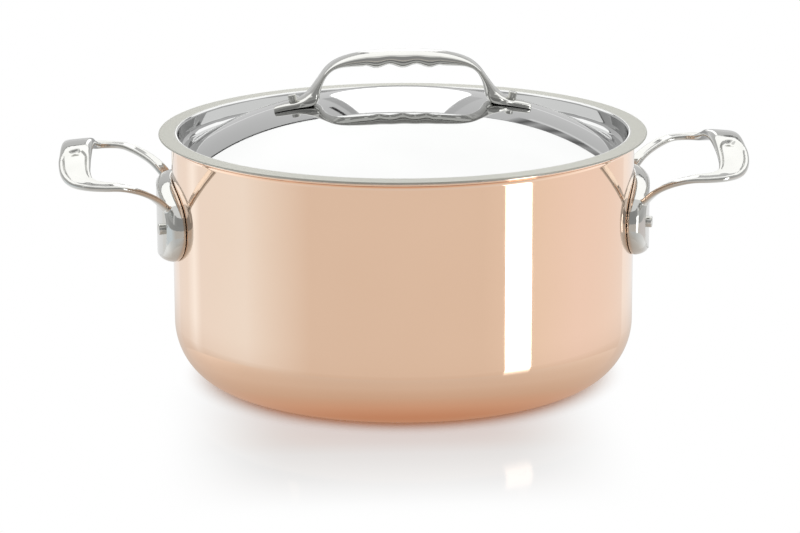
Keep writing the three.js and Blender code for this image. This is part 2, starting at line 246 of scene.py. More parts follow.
ceiling_panel("ceiling_softbox", -2.4, 2.6, 0.0, SOFTBOX_BACK, [(0.5, 1.0), (1, 0.93)], SOFTBOX_STRENGTH)
ceiling_panel("softbox_frame_left", -2.4, -0.3, SOFTBOX_BACK, 0.14, [(0, 0.03), (1, 0.06)])
ceiling_panel("softbox_frame_right", 0.6, 2.6, SOFTBOX_BACK, 0.05, [(0, 0.3), (1, 0.35)])
print("ceiling height in m:", CEILING_HEIGHT)

# %% [markdown]
# ### Back wall
# Level faces, such as the crown of the dome and the dishes of the handles, mirror the wall behind the pot.
# A bright window stands there in a grey frame. Its foot is rounded, because its mirror image in the dome is
# a rounded patch; the rounding is made of short rows that get narrower. Posts and beams beside the window
# give the lid's gutter its dark stripes.

# %% Back wall and window
WALL_DISTANCE = 6.6
BACK_TONES = [(-75, 0.55), (-26, 0.64), (0, 0.7), (26, 0.68), (75, 0.55)]
WINDOW_DISTANCE = 6.5
WINDOW_MIDDLE = 2.8
WINDOW_HALF = 3.7
WINDOW_TOP = 2.97
FOOT_TOP = 0.97
FOOT_LOW = -0.05
FOOT_ROWS = 16

curved_wall("back_wall", WALL_DISTANCE, -75, 75, -2.4, 3.7, BACK_TONES)
left, right = WINDOW_MIDDLE - WINDOW_HALF, WINDOW_MIDDLE + WINDOW_HALF
even_wall("back_strip", WINDOW_DISTANCE, left, right, FOOT_TOP, WINDOW_TOP, 1.0, SOFTBOX_STRENGTH)
row = (FOOT_TOP - FOOT_LOW) / FOOT_ROWS
for i in range(FOOT_ROWS):
    high = FOOT_TOP - i * row
    half = WINDOW_HALF * sqrt(1 - ((i + 0.5) / FOOT_ROWS) ** 2)
    left, right = WINDOW_MIDDLE - half, WINDOW_MIDDLE + half
    even_wall(f"strip_foot_{i}", WINDOW_DISTANCE, left, right, high - row, high, 1.0, SOFTBOX_STRENGTH)
print("window width in degrees:", 2 * WINDOW_HALF)

# %% Frames, posts and beams
FRAME_DISTANCE = 6.45
BEAM_DISTANCE = 6.4
LINE_DISTANCE = 6.55
BEAMS = [
    (13, 0.55),
    (14.5, 0.14),
    (16, 0.5),
    (18.5, 0.16),
    (20, 0.5),
    (23, 0.14),
    (25, 0.45),
    (28, 0.2),
    (30, 0.5),
]

even_wall("strip_frame_left", FRAME_DISTANCE, -1.6, -0.9, FOOT_TOP, WINDOW_TOP, 0.5)
even_wall("strip_frame_right", FRAME_DISTANCE, 6.5, 7.4, FOOT_TOP, WINDOW_TOP, 0.6)
even_wall("dark_post", BEAM_DISTANCE, -2.5, -2.15, 2.06, 3.3, 0.05)
even_wall("wall_line_left", LINE_DISTANCE, -32, -2.4, 0.66, 0.76, 0.95)
even_wall("wall_line_right", LINE_DISTANCE, 8.4, 32, 0.66, 0.76, 0.95)
curved_wall("beams", BEAM_DISTANCE, 13, 30, 2.32, 3.0, BEAMS)
even_wall("beam_ledge", BEAM_DISTANCE, 14, 30, 2.14, 2.28, 0.9)
print("tones in the beams:", len(BEAMS))

# %% [markdown]
# ### Sides, front and low room
# The upright copper mirrors the room in front of the pot, and its rounded bottom mirrors what lies low in
# that room. So the room has bands, one above the other, and each band has tones that change with the
# bearing. The narrow bright strip on the copper is a mirror image too: three panels, one above the other,
# fade at the foot.

# %% Sides and front
SIDE_DISTANCE = 2.4
FRONT_DISTANCE = 2.6
FRONT_TONES = [(125, 0.46), (150, 0.38), (210, 0.38), (235, 0.46)]

curved_wall("side_wall_left", SIDE_DISTANCE, -120, -58, 0.3, 2.6, [(-120, 0.5), (-58, 0.6)])
curved_wall("side_wall_right", SIDE_DISTANCE, 58, 120, 0.3, 2.6, [(58, 0.66), (120, 0.6)])
curved_wall("front_room", FRONT_DISTANCE, 125, 235, 0.3, 2.4, FRONT_TONES)
print("tones in front:", len(FRONT_TONES))

# %% Low room
SKIRTING_DISTANCE = 2.2
LOW_DISTANCE = 2.05
HORIZON_DISTANCE = 2.0
SKIRTING = [(-30, 0.9), (-8, 0.85), (-5, 0.4), (11, 0.4), (14, 0.85), (45, 0.95)]
LOW_ROOM = [(45, 1.15), (90, 0.95), (145, 0.72), (228, 0.72), (270, 0.92), (300, 1.2), (330, 1.1)]
SKYLINE = [(45, 0.8), (90, 0.58), (145, 0.4), (228, 0.4), (270, 0.45), (330, 0.8)]
LOW_HORIZON = [
    (45, (0.88, 0.84, 0.82)),
    (90, (0.88, 0.82, 0.815)),
    (115, (0.84, 0.786, 0.74)),
    (145, (0.744, 0.686, 0.637)),
    (228, (0.734, 0.686, 0.645)),
    (250, (0.822, 0.85, 0.866)),
    (265, (0.88, 0.96, 1.02)),
    (300, (0.87, 0.914, 0.95)),
    (307, (1.0, 1.097, 1.17)),
    (316, (0.88, 0.896, 0.9)),
    (330, (0.86, 0.84, 0.815)),
]

curved_wall("low_back", SKIRTING_DISTANCE, -30, 45, -2.6, 0.0, SKIRTING)
curved_wall("low_room", LOW_DISTANCE, 45, 330, -2.6, -0.2, LOW_ROOM)
curved_wall("skyline", LOW_DISTANCE, 45, 330, -0.2, 0.3, SKYLINE)
curved_wall("low_horizon", HORIZON_DISTANCE, 45, 330, -0.72, -0.2, LOW_HORIZON)
print("tones along the low horizon:", len(LOW_HORIZON))

# %% Bright strip on the copper
STRIP_DISTANCE = 1.2
STRIP_BEARINGS = (120.3, 134.3)
STRIP_STEPS = [(-0.37, 0.35, 3.2), (-0.41, -0.37, 1.9), (-0.45, -0.41, 1.2)]

for i, (low, high, strength) in enumerate(STRIP_STEPS):
    even_wall(f"copper_strip_{i}", STRIP_DISTANCE, *STRIP_BEARINGS, low, high, 1.0, strength)

# %% [markdown]
# ## Floor
# The pot stands on a sheet of pale polished paper. Close to the pot the sheet is an ordinary matt surface,
# which takes the soft shadow. Further out it fades into the white background. In front of the pot a light
# grey shade is painted into that glowing white, a painted shade of the pot; over it lies a faint real mirror
# image of the copper, as polished paper has when it is seen at a low angle. Mirrors get a simpler floor: a
# glowing disc round the pot whose warm tones are painted shade and painted copper light, and nothing beyond
# it, so that the copper shows the panels and not an endless table.

# %% Nodes for places on the floor
def axis_distance(tree, position, squeeze=(1, 1, 0)):
    """The distance of a surface point from the pot's axis, with space squeezed along X, Y and Z."""
    squeezed = add_node(tree, "ShaderNodeVectorMath", {1: squeeze}, operation="MULTIPLY")
    tree.links.new(position, squeezed.inputs[0])
    distance = add_node(tree, "ShaderNodeVectorMath", operation="LENGTH")
    tree.links.new(squeezed.outputs["Vector"], distance.inputs[0])
    return distance.outputs["Value"]


def map_range(tree, value, start, end, low=0.0, high=1.0, kind="SMOOTHSTEP"):
    """Runs from low to high while a value runs from start to end."""
    step = add_node(tree, "ShaderNodeMapRange", {
        "From Min": start, "From Max": end, "To Min": low, "To Max": high,
    }, interpolation_type=kind)
    tree.links.new(value, step.inputs["Value"])
    return step.outputs["Result"]


def combine(tree, operation, first, second):
    """Combines two value sockets by a math operation."""
    node = add_node(tree, "ShaderNodeMath", operation=operation)
    tree.links.new(first, node.inputs[0])
    tree.links.new(second, node.inputs[1])
    return node.outputs["Value"]


# %% Places on the floor
SHADE_MIDDLE = -0.01

paper_material, tree, output = new_material("pale_sheet")
position = add_node(tree, "ShaderNodeTexCoord").outputs["Object"]
place = add_node(tree, "ShaderNodeSeparateXYZ")
tree.links.new(position, place.inputs["Vector"])
forward = place.outputs["Y"]
shifted = add_node(tree, "ShaderNodeMath", {1: SHADE_MIDDLE}, operation="SUBTRACT")
tree.links.new(place.outputs["X"], shifted.inputs[0])
beside = add_node(tree, "ShaderNodeMath", operation="ABSOLUTE")
tree.links.new(shifted.outputs["Value"], beside.inputs[0])
sideways = beside.outputs["Value"]
print("nodes for places:", len(tree.nodes))

# %% Matt paper with a painted grey shade
SHADOW_FADE = (0.094, 0.118)
SHADE_SIDES = (0.05, 0.12)
SHADE_START = (0.0, -0.05)
SHADE_END = (-0.125, -0.245)
SHADE_DEPTH = 0.2


def mix_shaders(tree, factor, first, second):
    """Blends two shader sockets by a factor socket."""
    mix = add_node(tree, "ShaderNodeMixShader")
    tree.links.new(factor, mix.inputs["Fac"])
    tree.links.new(first, mix.inputs[1])
    tree.links.new(second, mix.inputs[2])
    return mix.outputs["Shader"]


def emission(tree, colour):
    """A glowing surface whose colour comes from a socket; strength 1 is the white of the background."""
    glow = add_node(tree, "ShaderNodeEmission", {"Strength": 1.0})
    tree.links.new(colour, glow.inputs["Color"])
    return glow.outputs["Emission"]


paper = add_node(tree, "ShaderNodeBsdfPrincipled", {
    "Base Color": (0.93, 0.925, 0.92, 1), "Roughness": 0.5, "Specular IOR Level": 0.1,
})
# The grey shade in front of the pot is painted: it dims the glowing white by up to SHADE_DEPTH.
starts = map_range(tree, forward, *SHADE_START)
ends = map_range(tree, forward, *SHADE_END, 1.0, 0.0)
inside = map_range(tree, sideways, *SHADE_SIDES, 1.0, 0.0)
shade = combine(tree, "MULTIPLY", inside, combine(tree, "MULTIPLY", starts, ends))
white_with_painted_shade = emission(tree, map_range(tree, shade, 0.0, 1.0, 1.0, 1.0 - SHADE_DEPTH, "LINEAR"))
away = map_range(tree, axis_distance(tree, position), *SHADOW_FADE)
matt = mix_shaders(tree, away, paper.outputs["BSDF"], white_with_painted_shade)
print("the shadow fades at mm:", [round(v / MM) for v in SHADOW_FADE])

# %% Faint mirror image in the paper
SHINE_SIDES = (0.04, 0.112)
SHINE_REACH = -0.23
SHINE = [(0.1, 0.0), (0.35, 0.26), (0.5, 0.28), (0.55, 0.25), (0.63, 0.12), (0.8, 0.09), (0.97, 0.0)]

polish = add_node(tree, "ShaderNodeBsdfGlossy", {"Color": (1, 1, 1, 1), "Roughness": 0.08})
shine = ramp(tree, map_range(tree, forward, 0.0, SHINE_REACH, kind="LINEAR"), SHINE)
in_middle = map_range(tree, sideways, *SHINE_SIDES, 1.0, 0.0)
sheet = mix_shaders(tree, combine(tree, "MULTIPLY", in_middle, shine), matt, polish.outputs["BSDF"])
print("the mirror image reaches mm:", round(-SHINE_REACH / MM))

# %% What mirrors see of the paper
DISC_SQUEEZE = (1.2, 1.0, 0.0)
DISC_FADE = (0.12, 0.3)
DISC_SPAN = 0.25
# These warm tones are painted: painted shade of the paper round the pot and painted copper light on it, shown
# to mirrors by a glowing disc.
DISC_PAINTED_TONES = [
    (0.4, (0.53, 0.29, 0.185)),
    (0.432, (0.548, 0.315, 0.21)),
    (0.476, (0.61, 0.42, 0.32)),
    (0.53, (0.615, 0.5, 0.42)),
    (0.61, (0.655, 0.57, 0.505)),
    (0.8, (0.65, 0.57, 0.5)),
    (1.0, (0.7, 0.635, 0.575)),
]

disc_distance = axis_distance(tree, position, DISC_SQUEEZE)
disc = emission(tree, ramp(tree, map_range(tree, disc_distance, 0.0, DISC_SPAN, kind="LINEAR"), DISC_PAINTED_TONES))
clear = add_node(tree, "ShaderNodeBsdfTransparent")
in_mirrors = mix_shaders(tree, map_range(tree, disc_distance, *DISC_FADE), disc, clear.outputs["BSDF"])
light_path = add_node(tree, "ShaderNodeLightPath")
surface = mix_shaders(tree, light_path.outputs["Is Glossy Ray"], sheet, in_mirrors)
tree.links.new(surface, output.inputs["Surface"])
print("nodes in the paper:", len(tree.nodes))

# %% Floor sheet
FLOOR_HALF = 4.0
FLOOR_GAP = 0.02 * MM

floor_mesh = bpy.data.meshes.new("floor")
bm = bmesh.new()
bmesh.ops.create_grid(bm, x_segments=1, y_segments=1, size=FLOOR_HALF)
bm.to_mesh(floor_mesh)
bm.free()
floor = bpy.data.objects.new("floor", floor_mesh)
scene.collection.objects.link(floor)
floor.location.z = -FLOOR_GAP
floor_mesh.materials.append(paper_material)
floor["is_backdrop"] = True
print("floor width in m:", 2 * FLOOR_HALF)

# %% [markdown]
# ## Lamp
# The white world alone gives a very faint shadow. One weak soft lamp from above strengthens it. A sun lamp
# would draw a hard edge, which a studio shadow doesn't have. Mirrors don't see the lamp, so it leaves no
# bright spot on the metal.

# %% Soft lamp
LAMP_POWER = 6
LAMP_PLACE = (-0.2, -0.2, 1.6)

lamp_data = bpy.data.lights.new("soft_top", "AREA")
lamp_data.shape = "RECTANGLE"
lamp_data.size = 1.6
lamp_data.size_y = 1.2
lamp_data.energy = LAMP_POWER
lamp = bpy.data.objects.new("soft_top", lamp_data)
scene.collection.objects.link(lamp)
lamp.location = LAMP_PLACE
lamp.visible_glossy = False
print("lamp power in W:", lamp_data.energy)

# %% [markdown]
# ## Polished copper
# The wall is drawn copper, buffed on a turning lathe. Buffing leaves hair-fine rings that run round the pot
# and a colour that is not quite even. The rings are a noise that is squeezed in height, used as a very
# slight bump; a slow noise drifts the colour between two close coppers. A thin clear lacquer keeps the
# polish. The edges of the pot look paler than its front mostly because they mirror the pale, bluish
# panels of the low room.

# %% Noises
def turned_lines(tree, position, rings, along=1.5):
    """A noise drawn out into rings: fine in height, slow round the pot."""
    stretch = add_node(tree, "ShaderNodeMapping", {"Scale": (along, along, rings)})
    tree.links.new(position, stretch.inputs["Vector"])
    lines = add_node(tree, "ShaderNodeTexNoise", {"Scale": 1.0, "Detail": 3.0, "Roughness": 0.6})
    tree.links.new(stretch.outputs["Vector"], lines.inputs["Vector"])
    return lines.outputs["Fac"]


def soft_clouds(tree, position, scale, detail=2.0):
    """A slow noise for drifting tones; scale is in waves per metre."""
    clouds = add_node(tree, "ShaderNodeTexNoise", {"Scale": scale, "Detail": detail, "Roughness": 0.5})
    tree.links.new(position, clouds.inputs["Vector"])
    return clouds.outputs["Fac"]


# %% Metal with a drifting colour
CLOUD_LOW = 0.3
CLOUD_HIGH = 0.7
BLOTCH_FINENESS = 5
BLOTCH_DETAIL = 4.0
COAT_ROUGHNESS = 0.03


def metal_finish(name, dark, light, smooth, rough, cloud_scale=14.0, coat=0.0):
    """A metal whose colour and roughness drift slowly; returns what later steps need to add a bump."""
    material, tree, output = new_material(name)
    position = add_node(tree, "ShaderNodeTexCoord").outputs["Object"]
    shader = add_node(tree, "ShaderNodeBsdfPrincipled", {
        "Metallic": 1.0, "Coat Weight": coat, "Coat Roughness": COAT_ROUGHNESS,
    })
    clouds = soft_clouds(tree, position, cloud_scale)
    colour = ramp(tree, clouds, [(CLOUD_LOW, dark), (CLOUD_HIGH, light)])
    tree.links.new(colour, shader.inputs["Base Color"])
    blotches = soft_clouds(tree, position, cloud_scale * BLOTCH_FINENESS, BLOTCH_DETAIL)
    gloss = map_range(tree, blotches, CLOUD_LOW, CLOUD_HIGH, smooth, rough, "LINEAR")
    tree.links.new(gloss, shader.inputs["Roughness"])
    tree.links.new(shader.outputs["BSDF"], output.inputs["Surface"])
    return material, tree, position, shader


def add_bump(tree, shader, height, strength, distance):
    """A bump from a height socket; distance is the real depth in metres."""
    bump = add_node(tree, "ShaderNodeBump", {"Strength": strength, "Distance": distance})
    tree.links.new(height, bump.inputs["Height"])
    tree.links.new(bump.outputs["Normal"], shader.inputs["Normal"])


# %% Copper finish
copper_finish, tree, position, shader = metal_finish(
    "polished_copper", (0.945, 0.69, 0.52), (0.965, 0.71, 0.54), smooth=0.03, rough=0.06, coat=0.4,
)
add_bump(tree, shader, turned_lines(tree, position, rings=900.0), strength=0.05, distance=0.02 * MM)
print("nodes in the copper:", len(tree.nodes))

# %% [markdown]
# ## Lid steel
# The lid is stainless sheet, polished to a mirror on a turning table, so its faint rings follow the
# distance from the middle. Its flat flange is duller: a satin ring, rougher than the dome, with its colour
# dimmed and warmed as painted shade. The ring could be a second material on its own faces. One finish that
# changes with the distance is simpler, and its edge lies where it is wanted, whatever the faces are.

# %% Lid finish
def ring_lines(tree, position, rings):
    """A noise that depends only on the distance from the pot's axis."""
    lines = add_node(tree, "ShaderNodeTexNoise", {"Scale": rings, "Detail": 3.0, "Roughness": 0.6},
                     noise_dimensions="1D")
    tree.links.new(axis_distance(tree, position), lines.inputs["W"])
    return lines.outputs["Fac"]


lid_finish, tree, position, shader = metal_finish(
    "mirror_sheet", (0.575, 0.578, 0.575), (0.605, 0.608, 0.605), smooth=0.02, rough=0.05,
)
add_bump(tree, shader, ring_lines(tree, position, rings=700.0), strength=0.04, distance=0.02 * MM)
print("nodes in the lid steel:", len(tree.nodes))

# %% Satin flange
SATIN_EDGE = (117 * MM, 118.5 * MM)
SATIN_ROUGHNESS = 0.45
# The satin tone is painted shade: a dimmer, warmer colour than the polished steel has.
SATIN_PAINTED_SHADE_TONE = (0.46, 0.46, 0.415)

from_axis = axis_distance(tree, position)
satin = map_range(tree, from_axis, *SATIN_EDGE, 0.0, SATIN_ROUGHNESS, "LINEAR")
polished = shader.inputs["Roughness"].links[0].from_socket
tree.links.new(combine(tree, "MAXIMUM", polished, satin), shader.inputs["Roughness"])
flange_painted_shade = add_node(tree, "ShaderNodeMixRGB", {"Color2": (*SATIN_PAINTED_SHADE_TONE, 1)})
tree.links.new(map_range(tree, from_axis, *SATIN_EDGE, kind="LINEAR"), flange_painted_shade.inputs["Fac"])
tree.links.new(shader.inputs["Base Color"].links[0].from_socket, flange_painted_shade.inputs["Color1"])
tree.links.new(flange_painted_shade.outputs["Color"], shader.inputs["Base Color"])
print("the satin ring starts at mm:", round(SATIN_EDGE[0] / MM, 1))

# %% [markdown]
# ## Castings, lining and foot
# These are steel too, and only the polish differs. The handles and rivets are castings, which keep a faint
# waviness under their polish: a slow bump. The lining and the foot disc are brushed, the lining in rings up
# its wall and the disc in rings round its middle. Each brushing is a fine noise used as a bump, which is
# lighter than real scratches and still breaks up what the metal mirrors.

# %% Castings, lining and foot
casting_finish, tree, position, shader = metal_finish(
    "polished_casting", (0.56, 0.56, 0.535), (0.61, 0.61, 0.585), smooth=0.04, rough=0.09, cloud_scale=40.0,
)
add_bump(tree, shader, soft_clouds(tree, position, scale=160.0), strength=0.1, distance=0.15 * MM)

lining_finish, tree, position, shader = metal_finish(
    "brushed_lining", (0.84, 0.84, 0.83), (0.87, 0.87, 0.86), smooth=0.25, rough=0.3,
)
add_bump(tree, shader, turned_lines(tree, position, rings=1500.0), strength=0.1, distance=0.05 * MM)

foot_finish, tree, position, shader = metal_finish(
    "brushed_foot", (0.5, 0.5, 0.49), (0.58, 0.58, 0.57), smooth=0.28, rough=0.38,
)
add_bump(tree, shader, ring_lines(tree, position, rings=900.0), strength=0.25, distance=0.05 * MM)
print("finishes:", [m.name for m in (copper_finish, lid_finish, casting_finish, lining_finish, foot_finish)])

# %% [markdown]
# ## Drawing a turned profile
# Most of the pot is turned: a half section swept round the axis. A pen draws the section in the XZ plane,
# one stroke at a time. A line is extruded point by point, an arc is a short spin of the last point, and the
# whole drawing is then spun once round Z. Lines get extra points close to their ends, so that the smooth
# shading of a bend does not bleed into the flat beside it. A Screw modifier could sweep the drawing too,
# but the operator leaves a finished mesh whose seam and poles can be closed at once.

# %% Profile pen
TURNED_STEPS = 288
HOLD = 0.25 * MM
SEAM = 0.002 * MM


class ProfilePen:
    """Draws a half section in the XZ plane and spins it round Z."""

    def __init__(self, radius, height):
        self.bm = bmesh.new()
        self.tip = self.bm.verts.new((radius, 0, height))

    def point(self, radius, height):
        """One straight edge to a new point."""
        made = bmesh.ops.extrude_vert_indiv(self.bm, verts=[self.tip])
        self.tip = made["verts"][0]
        self.tip.co = (radius, 0, height)

    def line(self, radius, height):
        """A straight run with a point close to each end."""
        start = self.tip.co.copy()
        run = Vector((radius, 0, height)) - start
        hold = min(HOLD, run.length / 3)
        for place in (start + run.normalized() * hold, start + run - run.normalized() * hold, start + run):
            self.point(place.x, place.z)

    def arc(self, radius, height, turn, steps=14, stretch=1.0):
        """Turns about a centre, in degrees, anticlockwise; stretch makes the arc taller than wide."""
        centre = Vector((radius, 0, height))
        drawn = set(self.bm.verts)
        flatten = Matrix.Diagonal((1, 1, 1 / stretch, 1))
        squeeze = Matrix.Translation(centre) @ flatten @ Matrix.Translation(-centre)
        self.tip.co = squeeze @ self.tip.co
        first = self.tip
        made = bmesh.ops.spin(self.bm, geom=[self.tip], cent=centre, axis=(0, -1, 0),
                              angle=radians(turn), steps=steps)
        self.tip = [item for item in made["geom_last"] if isinstance(item, bmesh.types.BMVert)][0]
        arc_points = [v for v in self.bm.verts if v not in drawn] + [first]
        bmesh.ops.transform(self.bm, matrix=squeeze.inverted(), verts=arc_points)

    def turned(self, steps=TURNED_STEPS):
        """Spins the drawing round Z and closes its seam and poles."""
        bm = self.bm
        bmesh.ops.spin(bm, geom=bm.verts[:] + bm.edges[:], cent=(0, 0, 0), axis=(0, 0, 1),
                       angle=2 * pi, steps=steps, use_merge=True)
        bmesh.ops.remove_doubles(bm, verts=bm.verts[:], dist=SEAM)
        bmesh.ops.recalc_face_normals(bm, faces=bm.faces[:])
        return bm


# %% Finishing a piece
def finish_piece(name, bm, finish, body, node):
    """Turns a bmesh into a smooth piece that rides on a body and stands for its CAD node."""
    mesh = bpy.data.meshes.new(name)
    bm.to_mesh(mesh)
    bm.free()
    mesh.polygons.foreach_set("use_smooth", [True] * len(mesh.polygons))
    mesh.materials.append(finish)
    piece = bpy.data.objects.new(name, mesh)
    scene.collection.objects.link(piece)
    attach(piece, body)
    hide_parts(node)
    print(name, "faces:", len(mesh.polygons))


# %% [markdown]
# ## Copper pot
# One drawn sheet of even thickness: flat bottom, large soft corner, straight wall and a small flared lip.
# The steel lining is a thinner sheet inside it. A single surface with a Solidify modifier would have square
# edges. So both faces are drawn in one closed stroke, the outer one on the way up and the inner one on the
# way down, and the lip gets its real half-round edge.

# %% Pot sizes
POT_RADIUS = 120 * MM
COPPER = 1.7 * MM
BOND = 0.05 * MM
LINING = 0.25 * MM
CORNER_WIDTH = 26 * MM
CORNER_HEIGHT = 30 * MM
LIP_BEND = 2.5 * MM
COPPER_LIP = 122.8 * MM
LINING_LIP = 125.4 * MM
POT_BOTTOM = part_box("copper_shell")[0].z
LIP_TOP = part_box("steel_lining")[1].z
CORNER_LEVEL = POT_BOTTOM + CORNER_HEIGHT
LIP_CENTRE = (POT_RADIUS + LIP_BEND, LIP_TOP - COPPER - BOND - LINING - LIP_BEND)
print("pot corner ends at mm:", round(CORNER_LEVEL / MM, 1))


# %% Pot sheets
def pot_layer(outer, inner, lip_radius):
    """A turned sheet between two depths below the pot's outer face, with a lip that ends at a radius."""
    pen = ProfilePen(0, POT_BOTTOM + outer)
    corner_x = POT_RADIUS - CORNER_WIDTH
    half = (inner - outer) / 2

    def corner(depth, turn):
        stretch = (CORNER_HEIGHT - depth) / (CORNER_WIDTH - depth)
        pen.arc(corner_x, CORNER_LEVEL, turn, steps=24, stretch=stretch)

    pen.line(corner_x, POT_BOTTOM + outer)
    corner(outer, 90)
    pen.line(POT_RADIUS - outer, LIP_CENTRE[1])
    pen.arc(*LIP_CENTRE, -90)
    lip_level = LIP_CENTRE[1] + LIP_BEND + outer
    pen.line(lip_radius - half, lip_level)
    pen.arc(lip_radius - half, lip_level + half, 180, steps=8)
    pen.line(LIP_CENTRE[0], lip_level + 2 * half)
    pen.arc(*LIP_CENTRE, 90)
    pen.line(POT_RADIUS - inner, CORNER_LEVEL)
    corner(inner, -90)
    pen.line(0, POT_BOTTOM + inner)
    return pen.turned()


# %% Pot and lining
copper_sheet = pot_layer(0, COPPER, COPPER_LIP)
finish_piece("copper_pot", copper_sheet, copper_finish, "pot", "copper_shell")
lining_sheet = pot_layer(COPPER + BOND, COPPER + BOND + LINING, LINING_LIP)
finish_piece("steel_lining_skin", lining_sheet, lining_finish, "pot", "steel_lining")

# %% [markdown]
# ## Foot disc
# A thin steel disc under the bottom lets the pot work on a magnetic hob. It is a flat turned plate; only
# its lower edge, which can catch the light, is rounded.

# %% Foot disc
FOOT_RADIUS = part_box("base_disc")[1].x
FOOT_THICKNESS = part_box("base_disc")[1].z
FOOT_EDGE = 0.2 * MM

pen = ProfilePen(0, 0)
pen.line(FOOT_RADIUS - FOOT_EDGE, 0)
pen.arc(FOOT_RADIUS - FOOT_EDGE, FOOT_EDGE, 90, steps=4)
pen.line(FOOT_RADIUS, FOOT_THICKNESS)
pen.line(0, FOOT_THICKNESS)
finish_piece("foot_disc", pen.turned(), foot_finish, "pot", "base_disc")

# %% [markdown]
# ## Lid
# A pressed sheet: a flat flange that lies on the pot's lip, a short upright wall that drops inside it, a
# rounded gutter, and a dome. A slice of a sphere would be a simple dome, but this one is flatter near its
# crown and falls faster on its flank, so a fourth power of the radius is added to the square. The dome
# meets the gutter along one common slope.

# %% Lid sizes and dome
LID_SHEET = 1 * MM
RIM_HEIGHT = 130 * MM
FLANGE_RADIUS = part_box("lid_shell")[1].x
FLANGE_BEND = 1.4 * MM
LID_WALL = 116.4 * MM
GUTTER = 3.6 * MM
DOME_BASE = 108 * MM
DOME_BASE_DROP = 7.6 * MM
DOME_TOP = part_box("lid_shell")[1].z

CROWN_RADIUS = 340 * MM
DOME_STEPS = 48
flank = (DOME_TOP - RIM_HEIGHT + DOME_BASE_DROP - DOME_BASE ** 2 / (2 * CROWN_RADIUS)) / DOME_BASE ** 4


def dome_level(radius):
    """The height of the dome's outer face at a distance from the axis."""
    return DOME_TOP - radius ** 2 / (2 * CROWN_RADIUS) - flank * radius ** 4


def dome_slope(radius):
    """How far the dome leans at a distance from the axis, in radians."""
    return atan(radius / CROWN_RADIUS + 4 * flank * radius ** 3)


def below_dome(radius, depth):
    """A profile point under the dome's face, at a depth measured square to it."""
    lean = dome_slope(radius)
    return radius - depth * sin(lean), dome_level(radius) - depth * cos(lean)


print("crown of the dome at mm:", round(dome_level(0) / MM, 1))

# %% Lid profile
slope = dome_slope(DOME_BASE)
gutter_x = LID_WALL - GUTTER
skirt_end = gutter_x - GUTTER * sin(slope)
skirt_drop = (skirt_end - DOME_BASE) * tan(slope)
gutter_z = RIM_HEIGHT - DOME_BASE_DROP - skirt_drop + GUTTER * cos(slope)
edge = LID_SHEET / 2
bend = (LID_WALL + FLANGE_BEND, RIM_HEIGHT - FLANGE_BEND)

pen = ProfilePen(0, DOME_TOP)
for i in range(1, DOME_STEPS + 1):
    pen.point(*below_dome(DOME_BASE * i / DOME_STEPS, 0))
pen.line(skirt_end, gutter_z - GUTTER * cos(slope))
pen.arc(gutter_x, gutter_z, 90 + degrees(slope), steps=18)
pen.line(LID_WALL, bend[1])
pen.arc(*bend, -90, steps=12)
pen.line(FLANGE_RADIUS - edge, RIM_HEIGHT)
pen.arc(FLANGE_RADIUS - edge, RIM_HEIGHT - edge, -180, steps=10)
pen.line(bend[0], RIM_HEIGHT - LID_SHEET)
pen.arc(*bend, 90, steps=12)
pen.line(LID_WALL + LID_SHEET, gutter_z)
pen.arc(gutter_x, gutter_z, -90 - degrees(slope), steps=18)
for i in range(DOME_STEPS, -1, -1):
    pen.point(*below_dome(DOME_BASE * i / DOME_STEPS, LID_SHEET))
finish_piece("lid_sheet", pen.turned(), lid_finish, "lid", "lid_shell")
print("dome slope at its base in degrees:", round(degrees(slope), 1))

# %% [markdown]
# ## Rivets
# A rivet is a pin whose ends are hammered into heads: here a low dome on the hidden side, and on the side
# that shows a short stub with a softened edge. A scaled ball would do from far away, but the stub's flat
# end and its edge show in the polish, so each rivet is turned too. It is drawn upright and then laid onto
# its own axis.

# %% Rivet form
RIVET_STEPS = 48
STUB_SOFTNESS = 0.22
BACK_DOME = [(0.45, 0.94), (0.8, 0.62), (1.0, 0.2), (1.0, 0.0)]


def rivet(name, body, faces, shank, back_head, stub, placing, node):
    """A turned rivet between two faces, given as places along its axis.

    Back head and stub are (radius, height).
    """
    back_face, front_face = faces
    soft = STUB_SOFTNESS * stub[0]
    tip = front_face + stub[1]
    pen = ProfilePen(0, back_face - back_head[1])
    for across, rise in BACK_DOME:
        pen.line(back_head[0] * across, back_face - back_head[1] * rise)
    pen.line(shank, back_face)
    pen.line(shank, front_face)
    pen.line(stub[0] - soft / 2, front_face)
    pen.arc(stub[0] - soft / 2, front_face + soft / 2, 90, steps=5)
    pen.line(stub[0], tip - soft)
    pen.arc(stub[0] - soft, tip - soft, 90, steps=7)
    pen.line(0, tip)
    bm = pen.turned(steps=RIVET_STEPS)
    bmesh.ops.transform(bm, matrix=placing, verts=bm.verts[:])
    finish_piece(name, bm, casting_finish, body, node)


# %% Rivets of the side handles
RIVET_ANGLE = 14
PLATE_HEIGHT = 86 * MM
PLATE_THICKNESS = 8.1 * MM
WALL_GAP = 0.15 * MM
HEAD_SINK = 0.4 * MM
INSIDE_DEPTH = 2.2 * MM
SIDE_FACES = (POT_RADIUS - INSIDE_DEPTH, POT_RADIUS + WALL_GAP + PLATE_THICKNESS - HEAD_SINK)
SIDE_SHANK = 2.1 * MM
SIDE_BACK_HEAD = (4.6 * MM, 1.7 * MM)
SIDE_STUB = (2.9 * MM, 2.8 * MM)
LIFT = Matrix.Translation((0, 0, PLATE_HEIGHT))
LIE_DOWN = Matrix.Rotation(pi / 2, 4, "Y")

